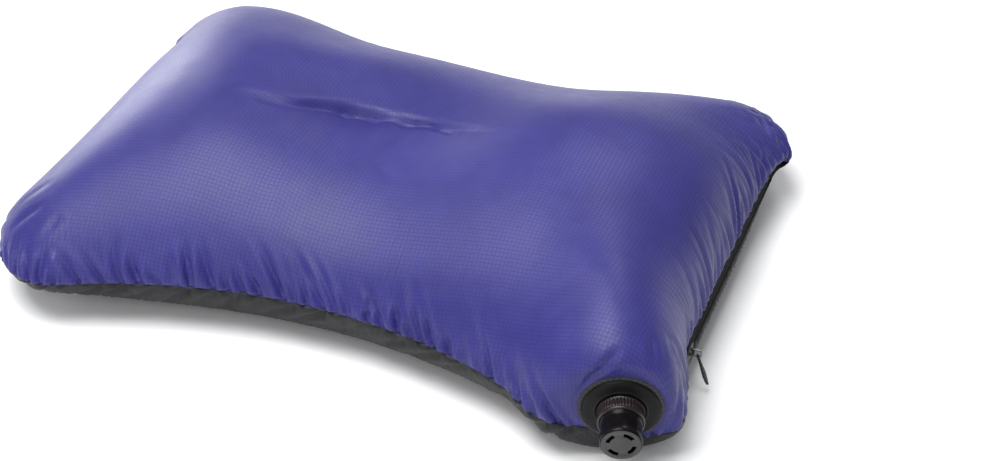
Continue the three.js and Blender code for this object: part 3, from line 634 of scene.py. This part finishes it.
M_COIL = plastic_mat("zip_nylon", rgb(0.006, 0.006, 0.0065), 0.5, spec=0.3)
M_METAL = metal_mat("zip_metal", rgb(0.30, 0.30, 0.31), 0.34)
M_DARKMETAL = metal_mat("slider_metal", rgb(0.06, 0.06, 0.062), 0.42)
M_PULL = plastic_mat("pull_tab_rubber", rgb(0.0045, 0.004, 0.004), 0.5, 0.05, 700, spec=0.3)

# ------------------------------------------------------------------ covers, fill and bladder
X, MT, su, sv = build_top()
top = shell("top_cover_cloth", X, su, sv, 1.8, +1, M_BLUE, 4)
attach(top, "pillow"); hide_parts("top_cover")
XB, MB, bu, bv = build_bottom()
bot = shell("bottom_cover_cloth", XB, bu, bv, 1.4, -1, M_BLACK, 4)
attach(bot, "pillow"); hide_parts("bottom_cover")

def inner(name, base_fn, depth, thick, outward, mat, node, n=(49, 35)):
    u, v = params(n[0], 0.6) * 0.975, params(n[1], 0.6) * 0.965
    P = base_fn(u, v)
    N = normals(P) * outward
    P = P - depth * N
    P[..., 2] = np.maximum(P[..., 2], 2.4)
    over = P[..., 0] - 164.0                  # clear of the zip slider all along its run
    P[..., 0] = np.where(over > 0, 164.0 + 6.0 * np.tanh(over / 6.0), P[..., 0])
    o = shell(name, P, arc(P, 0), arc(P, 1), thick, outward, mat)
    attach(o, "pillow"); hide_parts(node)
    return o
inner("fill_layer", top_macro, 5.0, 2.2, +1, M_FILL, "fill_batting")
inner("fill_lining", top_macro, 8.0, 0.4, +1, M_BLACK, "batting_lining")
inner("bladder_upper", top_macro, 9.4, 0.4, +1, M_FILM, "bladder_upper_film")
inner("bladder_lower", bottom_macro, 4.0, 0.4, -1, M_FILM, "bladder_lower_film")

# ------------------------------------------------------------------ valve
def valve_piece(name, verts, faces, body, node, mat, deg=32, extra=()):
    o = mesh_object(name, on_valve(verts), faces, None, True, mat)
    orient_out(o); sharp_by_angle(o, deg)
    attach(o, body)
    if node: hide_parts(node)
    return o
SEG = 96
# stitched reinforcement ring
prof = rounded([(14.4, -0.8), (20.8, -0.8), (20.9, 0.25), (20.2, 0.62), (15.2, 0.75), (14.4, 0.6)], 0.35, 3)
vv, ff = lathe(prof, SEG)
valve_piece("valve_patch_ring", vv, ff, "pillow", "valve_patch", M_PATCH)
# stitches round the ring
SV, SF = [], []
def capsule(c, d, length, r, lift, up):
    d = d / np.linalg.norm(d); s = np.cross(up, d)
    base = len(SV)
    prof = [(-length / 2, 0.15), (-length / 2 * 0.7, 0.8), (0, 1.0), (length / 2 * 0.7, 0.8), (length / 2, 0.15)]
    for t, k in prof:
        h = lift * (1 - (2 * t / length) ** 2 * 0.9)
        for a in range(6):
            w = 2 * math.pi * a / 6
            SV.append(c + d * t + s * (r * k * math.cos(w)) + up * (h * 0.6 + r * k * math.sin(w)))
    for i in range(4):
        for a in range(6):
            a2 = (a + 1) % 6
            SF.append((base + i*6 + a, base + i*6 + a2, base + (i+1)*6 + a2, base + (i+1)*6 + a))
    SF.append(tuple(base + a for a in reversed(range(6)))); SF.append(tuple(base + 24 + a for a in range(6)))
for k in range(44):
    a = 2 * math.pi * k / 44
    c = np.array([19.55 * math.cos(a), 19.55 * math.sin(a), 0.62]); d = np.array([-math.sin(a), math.cos(a), 0])
    capsule(c, d, 2.0, 0.24, 0.3, np.array([0, 0, 1.0]))
valve_piece("valve_patch_stitches", np.array(SV), SF, "pillow", None, M_THREAD, 60)
# flange disc
prof = rounded([(8.45, -5.6), (14.1, -5.6), (14.1, 0.7), (18.6, 0.7), (19.0, 1.3), (18.3, 2.2), (16.4, 2.55), (13.2, 2.75), (12.7, 3.15), (11.95, 3.15), (11.8, 2.5), (8.45, 2.4)], 0.45, 3)
vv, ff = lathe(prof, SEG)
valve_piece("valve_flange_disc", vv, ff, "pillow", "valve_flange", M_MATTE)
# threaded neck
prof = rounded([(6.0, -7.4), (8.1, -7.4), (8.1, 8.0), (7.2, 8.2), (7.2, 10.0), (8.1, 10.2), (8.1, 16.4), (7.5, 17.0), (6.0, 17.0)], 0.2, 2)
vv, ff = lathe(prof, 72)
vv, ff = list(map(tuple, vv)), list(ff)
for start in (0.0, math.pi):             # two-start thread
    turns, n, b0 = 1.1, 90, len(vv)
    for i in range(n + 1):
        t = i / n; a = start + 2 * math.pi * turns * t; z = 2.9 + 4.5 * turns * t
        k = min(1, t * 12, (1 - t) * 12)
        for dr, dz in ((-0.15, -0.55), (0.45 * k, -0.16), (0.45 * k, 0.16), (-0.15, 0.55)):
            vv.append(((8.05 + dr) * math.cos(a), (8.05 + dr) * math.sin(a), z + dz))
    for i in range(n):
        for q in range(4):
            q2 = (q + 1) % 4
            ff.append((b0 + i*4 + q, b0 + i*4 + q2, b0 + (i+1)*4 + q2, b0 + (i+1)*4 + q))
    ff.append((b0, b0 + 3, b0 + 2, b0 + 1)); e = b0 + n * 4; ff.append((e, e + 1, e + 2, e + 3))
valve_piece("valve_neck_threaded", np.array(vv), ff, "pillow", "valve_neck", M_MATTE)
# seal disc
prof = [(0, 17.3), (7.0, 17.3), (7.25, 17.45), (7.3, 17.7), (7.3, 18.4), (7.25, 18.65), (7.0, 18.8), (0, 18.8)]
vv, ff = lathe(prof, 72, closed=False)
valve_piece("valve_seal_pad", vv, ff, "valve_seal", "valve_seal_disc", M_RUBBER)
# knurled grip ring: rounded ribs, a plain lip at each end
nk, seg = 44, 44 * 8
ang = np.linspace(0, 2 * np.pi, seg, endpoint=False)
wave = 0.5 - 0.5 * np.cos(ang * nk)
rings = [(10.5, 3.5, 0), (10.7, 3.35, 0), (11.3, 3.35, 0), (11.55, 3.55, 0), (11.6, 3.9, 0), (11.45, 4.25, 0), (11.35, 4.45, .6), (11.35, 4.8, 1), (11.35, 6.5, 1), (11.35, 8.3, 1), (11.3, 8.7, 1), (11.15, 9.0, .5), (11.1, 9.2, 0), (11.35, 9.45, 0), (11.45, 9.8, 0), (11.4, 10.35, 0), (11.1, 10.75, 0), (10.6, 11.0, 0), (10.5, 10.8, 0)]
vv = []
for r, z, k in rings:
    rr = r + k * (0.42 * wave - 0.34)
    vv.append(np.stack([rr * np.cos(ang), rr * np.sin(ang), np.full(seg, z)], -1))
vv = np.concatenate(vv)
ff = []
for i in range(len(rings)):
    j = (i + 1) % len(rings)
    for k in range(seg):
        k2 = (k + 1) % seg
        ff.append((i * seg + k, j * seg + k, j * seg + k2, i * seg + k2))
valve_piece("valve_grip_ring", vv, ff, "valve_cap", "valve_knurled_ring", M_KNURL, 45)
# mouthpiece: flared barrel, end plate with four arc slots
seg = 120
prof = [(0, 24.2), (3.0, 24.2), (5.2, 24.2), (5.35, 24.14), (5.45, 24.0), (7.35, 24.0), (7.5, 24.14), (7.7, 24.2), (9.0, 24.18), (9.5, 24.1), (9.85, 23.95), (10.1, 23.6), (10.25, 23.1), (10.3, 22.4),
        (10.2, 21.0), (10.05, 19.8), (9.85, 18.4), (9.72, 16.4), (9.65, 14.4), (9.68, 13.0), (9.75, 12.3), (10.0, 11.9), (10.2, 11.6), (10.2, 3.4), (9.3, 3.4), (9.3, 12.0), (8.45, 12.9), (8.45, 22.2), (7.35, 22.4), (5.45, 22.4), (3.0, 22.4), (2.9, 19.2), (0, 19.2)]
TOP_IN, TOP_OUT = 4, 5
BOT_OUT = prof.index((7.35, 22.4)); BOT_IN = BOT_OUT + 1
ang = np.linspace(0, 2 * np.pi, seg, endpoint=False)
def in_slot(k):
    a = (2 * math.pi * (k + 0.5) / seg - math.radians(58)) % (math.pi / 2)
    return min(a, math.pi / 2 - a) < 0.42
verts, ids = [], []
for r, z in prof:
    if r < 1e-6: ids.append([len(verts)]); verts.append((0, 0, z))
    else: ids.append(list(range(len(verts), len(verts) + seg))); verts += [(r * math.cos(a), r * math.sin(a), z) for a in ang]
ff = []
for i in range(len(prof) - 1):
    A, B = ids[i], ids[i + 1]
    for k in range(seg):
        k2 = (k + 1) % seg
        if i in (TOP_IN, BOT_OUT) and in_slot(k): continue
        if len(A) == 1: ff.append((A[0], B[k], B[k2]))
        elif len(B) == 1: ff.append((A[k], B[0], A[k2]))
        else: ff.append((A[k], B[k], B[k2], A[k2]))
for k in range(seg):
    k2 = (k + 1) % seg
    if in_slot(k):
        ff.append((ids[TOP_IN][k], ids[TOP_IN][k2], ids[BOT_IN][k2], ids[BOT_IN][k]))
        ff.append((ids[TOP_OUT][k2], ids[TOP_OUT][k], ids[BOT_OUT][k], ids[BOT_OUT][k2]))
        if not in_slot(k - 1): ff.append((ids[TOP_IN][k], ids[BOT_IN][k], ids[BOT_OUT][k], ids[TOP_OUT][k]))
        if not in_slot(k + 1): ff.append((ids[TOP_IN][k2], ids[TOP_OUT][k2], ids[BOT_OUT][k2], ids[BOT_IN][k2]))
barrel = valve_piece("valve_mouthpiece_barrel", np.array(verts), ff, "valve_cap", "valve_mouthpiece", M_GLOSS, 40)
barrel.data.materials.append(M_DISC)
for p in barrel.data.polygons:
    c = np.array(p.center) / MM - C_V
    if c @ ZA > 23.97 and np.linalg.norm(np.cross(c, ZA)) < 9.4:
        p.material_index = 1

# ------------------------------------------------------------------ zip
def tube(path, r, n=8, closed=False, flat=1.0):
    """a swept round section; flat squeezes it across its second axis"""
    P = np.asarray(path, float); m = len(P)
    T = np.gradient(P, axis=0) if not closed else (np.roll(P, -1, 0) - np.roll(P, 1, 0))
    T /= np.linalg.norm(T, axis=1, keepdims=True)
    up = np.array([1.0, 0, 0]) if abs(T[0] @ [1, 0, 0]) < 0.8 else np.array([0, 1.0, 0])
    A = np.zeros_like(P); a = up - (up @ T[0]) * T[0]; A[0] = a / np.linalg.norm(a)
    for i in range(1, m):
        a = A[i-1] - (A[i-1] @ T[i]) * T[i]; A[i] = a / np.linalg.norm(a)
    B = np.cross(T, A)
    w = np.linspace(0, 2*np.pi, n, endpoint=False)
    V = P[:, None] + r * (np.cos(w)[None, :, None] * A[:, None] + flat * np.sin(w)[None, :, None] * B[:, None])
    F = []
    for i in range(m if closed else m - 1):
        i2 = (i + 1) % m
        for k in range(n):
            k2 = (k + 1) % n
            F.append((i*n + k, i*n + k2, i2*n + k2, i2*n + k))
    if not closed:
        F.append(tuple(reversed(range(n)))); F.append(tuple((m-1)*n + k for k in range(n)))
    return V.reshape(-1, 3), F

def joined(name, parts, mat, body, nodes, deg=40, uv=None):
    V, F, o = [], [], 0
    for v, f in parts:
        V.append(np.asarray(v, float)); F += [tuple(i + o for i in q) for q in f]; o += len(v)
    ob = mesh_object(name, np.concatenate(V) * MM, F, None, True, mat)
    orient_out(ob); sharp_by_angle(ob, deg)
    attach(ob, body)
    if nodes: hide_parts(*nodes)
    return ob

pitch = 1.25
for side, k in (("upper", 1), ("lower", -1)):
    loops = []
    y = ZIP_Y0 + 4
    while y < ZIP_Y1 - 4:
        off = 0 if k > 0 else pitch / 2
        t = np.linspace(0.0, 1.0, 9)
        zz = ZIP_Z + k * (2.75 - 2.2 * np.sin(np.pi * t) ** 0.8)
        xx = ZIP_X + 0.62 * np.cos(np.pi * t)
        yy = y + off + 0.35 * (t - 0.5)
        loops.append(tube(np.stack([xx, yy, zz], -1), 0.30, 6))
        y += pitch
    yy = np.linspace(ZIP_Y0 + 3.4, ZIP_Y1 - 3.4, 60)
    for dx in (0.55, -0.55):
        loops.append(tube(np.stack([np.full(60, ZIP_X + dx), yy, np.full(60, ZIP_Z + k * 2.55)], -1), 0.16, 5))
    joined("zip_coil_%s_loops" % side, loops, M_COIL, "pillow", ["zip_coil_" + side])
    # tape: thin square-edged strip with a shallow recessed band along one face
    z0, z1 = ZIP_Z + k * 3.05, ZIP_Z + k * 7.55
    n = 90
    yy = np.linspace(ZIP_Y0, ZIP_Y1, n)
    sec = [(-0.28, 0), (0.28, 0), (0.28, 0.45), (0.22, 0.5), (0.22, 0.9), (0.28, 0.95), (0.28, 1), (-0.28, 1)]
    V = np.array([[ZIP_X + a + 0.04 * math.sin(y * 0.9), y, z0 + (z1 - z0) * b] for y in yy for a, b in sec])
    F = []
    for i in range(n - 1):
        for q in range(8):
            q2 = (q + 1) % 8
            F.append((i*8 + q, i*8 + q2, (i+1)*8 + q2, (i+1)*8 + q))
    F.append(tuple(range(8))); F.append(tuple((n-1)*8 + q for q in reversed(range(8))))
    joined("zip_tape_%s_woven" % side, [(V, F)], M_TAPE, "pillow", ["zip_tape_" + side])

def rbox(x0, x1, y0, y1, z0, z1, r=0.25):
    """a box with rounded edges"""
    bm = bmesh.new()
    bmesh.ops.create_cube(bm, size=1)
    for v in bm.verts:
        v.co = Vector(((x0+x1)/2 + v.co.x*(x1-x0), (y0+y1)/2 + v.co.y*(y1-y0), (z0+z1)/2 + v.co.z*(z1-z0)))
    bmesh.ops.bevel(bm, geom=list(bm.edges), offset=r, segments=3, profile=0.6, affect="EDGES")
    bm.verts.index_update()
    V = np.array([v.co[:] for v in bm.verts]); F = [tuple(v.index for v in f.verts) for f in bm.faces]
    bm.free()
    return V, F
for nm, a, b in (("top", ZIP_Y0 + 0.6, ZIP_Y0 + 2.9), ("bottom", ZIP_Y1 - 2.9, ZIP_Y1 - 0.6)):
    joined("zip_%s_stop_clamp" % nm, [rbox(ZIP_X - 1.2, ZIP_X + 1.2, a, b, ZIP_Z - 2.6, ZIP_Z + 2.6, 0.4)], M_METAL, "pillow", ["zip_%s_stop" % nm])
# slider
IN0, IN1, OUT0, OUT1 = ZIP_X - 2.7, ZIP_X - 1.5, ZIP_X + 1.5, ZIP_X + 2.7
def plate(x0, x1, y, r=0.3):
    """a slider plate, waisted towards its narrow end"""
    pts = [(-4.5, 2.6), (-4.1, 3.7), (-2.6, 4.2), (1.0, 4.0), (3.6, 3.5), (4.5, 2.9)]
    ring = [(y + a, b) for a, b in pts] + [(y + a, -b) for a, b in reversed(pts)]
    bm = bmesh.new()
    lo = [bm.verts.new((x0, a, ZIP_Z + b)) for a, b in ring]; hi = [bm.verts.new((x1, a, ZIP_Z + b)) for a, b in ring]
    bm.faces.new(lo[::-1]); bm.faces.new(hi)
    n = len(ring)
    for i in range(n): bm.faces.new((lo[i], lo[(i+1) % n], hi[(i+1) % n], hi[i]))
    bmesh.ops.bevel(bm, geom=list(bm.edges), offset=r, segments=3, profile=0.6, affect="EDGES")
    bm.verts.index_update()
    V = np.array([v.co[:] for v in bm.verts]); F = [tuple(v.index for v in f.verts) for f in bm.faces]
    bm.free()
    return V, F
sy = SLIDER_Y
parts = [plate(IN0, IN1, sy), plate(OUT0, OUT1, sy),
         rbox(IN0 + 0.2, OUT1 - 0.2, sy - 4.1, sy - 1.5, ZIP_Z - 0.45, ZIP_Z + 0.45, 0.2)]
for k in (1, -1):
    a, b = sorted((ZIP_Z + k * 3.25, ZIP_Z + k * 4.0))
    parts.append(rbox(OUT0 - 0.7, OUT0 + 0.5, sy - 3.6, sy + 3.2, a, b, 0.2))
    parts.append(rbox(IN1 - 0.5, IN1 + 0.7, sy - 3.6, sy + 3.2, a, b, 0.2))
t = np.linspace(0, np.pi, 15)
br = np.stack([OUT1 - 0.2 + 1.95 * np.sin(t) ** 0.7, sy - 2.2 * np.cos(t), np.full(15, ZIP_Z)], -1)
parts.append(tube(br, 0.42, 10, flat=1.9))
joined("zip_slider_cast", parts, M_DARKMETAL, "zip_slider", ["zip_slider_body"])
# bail: round wire loop
BX = OUT1 + 0.85
pts = [(0, -1.6), (0, 0), (0, 1.6), (0.35, 1.9), (2.2, 1.95), (3.8, 1.85), (4.5, 1.2), (4.65, 0), (4.5, -1.2), (3.8, -1.85), (2.2, -1.95), (0.35, -1.9)]
P = np.array([[BX + a, sy, ZIP_Z + b] for a, b in pts])
def closed_spline(P, n):
    m = len(P); out = []
    for i in range(m):
        p0, p1, p2, p3 = P[i-1], P[i], P[(i+1) % m], P[(i+2) % m]
        for t in np.linspace(0, 1, n, endpoint=False):
            out.append(0.5*((2*p1) + (-p0+p2)*t + (2*p0-5*p1+4*p2-p3)*t*t + (-p0+3*p1-3*p2+p3)*t**3))
    return np.array(out)
joined("zip_bail_wire", [tube(closed_spline(P, 5), 0.42, 12, closed=True)], M_METAL, "zip_bail", ["zip_bail"])
# pull tab: leaf with a bound eye and a raised rib
leaf = [(-17.3, .35), (-16.6, 0.95), (-15, 1.5), (-13, 1.95), (-10.5, 2.1), (-8, 1.75), (-5.5, 1.2), (-3.4, 0.85), (-1.8, 0.8), (-0.6, 0.95), (0.4, 0.95), (0.95, 0.75), (1.3, 0.3)]
V, F = [], []
tilt = math.radians(20)
eye_c = np.array([BX + 3.1, sy, ZIP_Z - 1.95])
rows = []
for b, w in leaf:
    row = []
    for q in np.linspace(0, 2*np.pi, 20, endpoint=False):
        yy = w * math.cos(q) * (1 if abs(math.cos(q)) > .3 else 1)
        th = 0.58 + 0.12 * math.exp(-(yy / (0.35 * w + .05)) ** 2)
        xx = th * np.sign(math.sin(q)) * abs(math.sin(q)) ** 0.6
        row.append(len(V)); V.append((xx, yy, b))
    rows.append(row)
for A, B in zip(rows[:-1], rows[1:]):
    for k in range(20):
        k2 = (k+1) % 20
        F.append((A[k], A[k2], B[k2], B[k]))
F.append(tuple(rows[0][::-1])); F.append(tuple(rows[-1]))
V = np.array(V)
c, s = math.cos(tilt), math.sin(tilt)
R = np.array([[c, 0, -s], [0, 1, 0], [s, 0, c]])
V = V @ R.T + eye_c
pull = joined("zip_pull_leaf", [(V, F)], M_PULL, "zip_pull", ["zip_pull_tab"], 50)

# carried-over CAD nodes
def paint(node, mat):
    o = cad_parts[node]
    o.data.materials.clear(); o.data.materials.append(mat)
    o.data.polygons.foreach_set("use_smooth", np.ones(len(o.data.polygons), bool))
paint("valve_base_flange", M_MATTE); paint("valve_o_ring", M_RUBBER); paint("bladder_tie_strip", M_FILM)
for n in ("valve_base_flange", "bladder_tie_strip"):
    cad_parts[n].data.polygons.foreach_set("use_smooth", np.zeros(len(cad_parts[n].data.polygons), bool))

# ------------------------------------------------------------------ stage, light and camera
def stage_mat():
    m, nt, bs = new_mat("floor_paper")
    bs.inputs["Base Color"].default_value = rgb(0.93, 0.93, 0.935)
    bs.inputs["Roughness"].default_value = 0.9
    bs.inputs["Specular IOR Level"].default_value = 0.1
    return m
fl = mesh_object("floor", np.array([[-6, -6, -0.0002], [6, -6, -0.0002], [6, 6, -0.0002], [-6, 6, -0.0002]], float), [(0, 1, 2, 3)], None, False, stage_mat())
world = bpy.data.worlds.new("studio"); bpy.context.scene.world = world
world.use_nodes = True
bg = world.node_tree.nodes.get("Background") or world.node_tree.nodes.new("ShaderNodeBackground")
bg.inputs[0].default_value = (0.96, 0.97, 1.0, 1)
# the room is darker towards its horizon than overhead
wg = G(world.node_tree)
ws = wg.node("ShaderNodeSeparateXYZ"); wg.put(ws.inputs[0], wg.node("ShaderNodeTexCoord").outputs["Generated"])
wm = wg.node("ShaderNodeMapRange", interpolation_type="SMOOTHSTEP")
wg.put(wm.inputs["Value"], ws.outputs[2])
for sock, val in (("From Min", -0.05), ("From Max", 0.75), ("To Min", 0.16), ("To Max", 0.44)):
    wm.inputs[sock].default_value = val
wg.put(bg.inputs[1], wm.outputs[0])
def area(name, loc, target, size, power, color=(1, 1, 1), size_y=None):
    d = bpy.data.lights.new(name, "AREA")
    d.energy = power; d.size = size; d.color = color
    if size_y: d.shape = "RECTANGLE"; d.size_y = size_y
    o = bpy.data.objects.new(name, d); bpy.context.scene.collection.objects.link(o)
    o.location = loc
    o.rotation_mode = "QUATERNION"
    o.rotation_quaternion = (Vector(target) - Vector(loc)).to_track_quat("-Z", "Y")
    return o
area("back_left", (-1.35, 1.05, 0.28), (-0.1, 0, 0.06), 0.7, 11.0, (0.97, 0.97, 1.0), 0.4)
area("back_right", (0.13, 0.95, 1.10), (0.08, 0, 0.05), 0.35, 3.0, (1, 1, 1), 0.35)
area("top_soft", (-0.30, -0.28, 1.5), (0, 0, 0), 1.0, 28.0)
area("fill_front", (0.05, -1.3, 0.80), (0, 0, 0.04), 0.9, 5.0)

cam = bpy.data.cameras.new("camera"); co = bpy.data.objects.new("camera", cam)
bpy.context.scene.collection.objects.link(co); bpy.context.scene.camera = co
bpy.context.scene.view_settings.view_transform = "Standard"
bpy.context.scene.view_settings.look = "None"
caz, cel, croll, cf = math.radians(19.695781), math.radians(36.823824), math.radians(0.848137), 2259.0375
back = Vector((math.sin(caz) * math.cos(cel), -math.cos(caz) * math.cos(cel), math.sin(cel)))
right = Vector((math.cos(caz), math.sin(caz), 0)); up = back.cross(right)
rr = right * math.cos(croll) + up * math.sin(croll); uu = -right * math.sin(croll) + up * math.cos(croll)
Mx = Matrix((rr, uu, back)).transposed().to_4x4(); Mx.translation = Vector((0.3792366, -0.9093247, 0.7371662))
co.matrix_world = Mx
cam.sensor_width = 36.0; cam.lens = cf * 36.0 / 1000.0; cam.clip_start = 0.05; cam.clip_end = 30
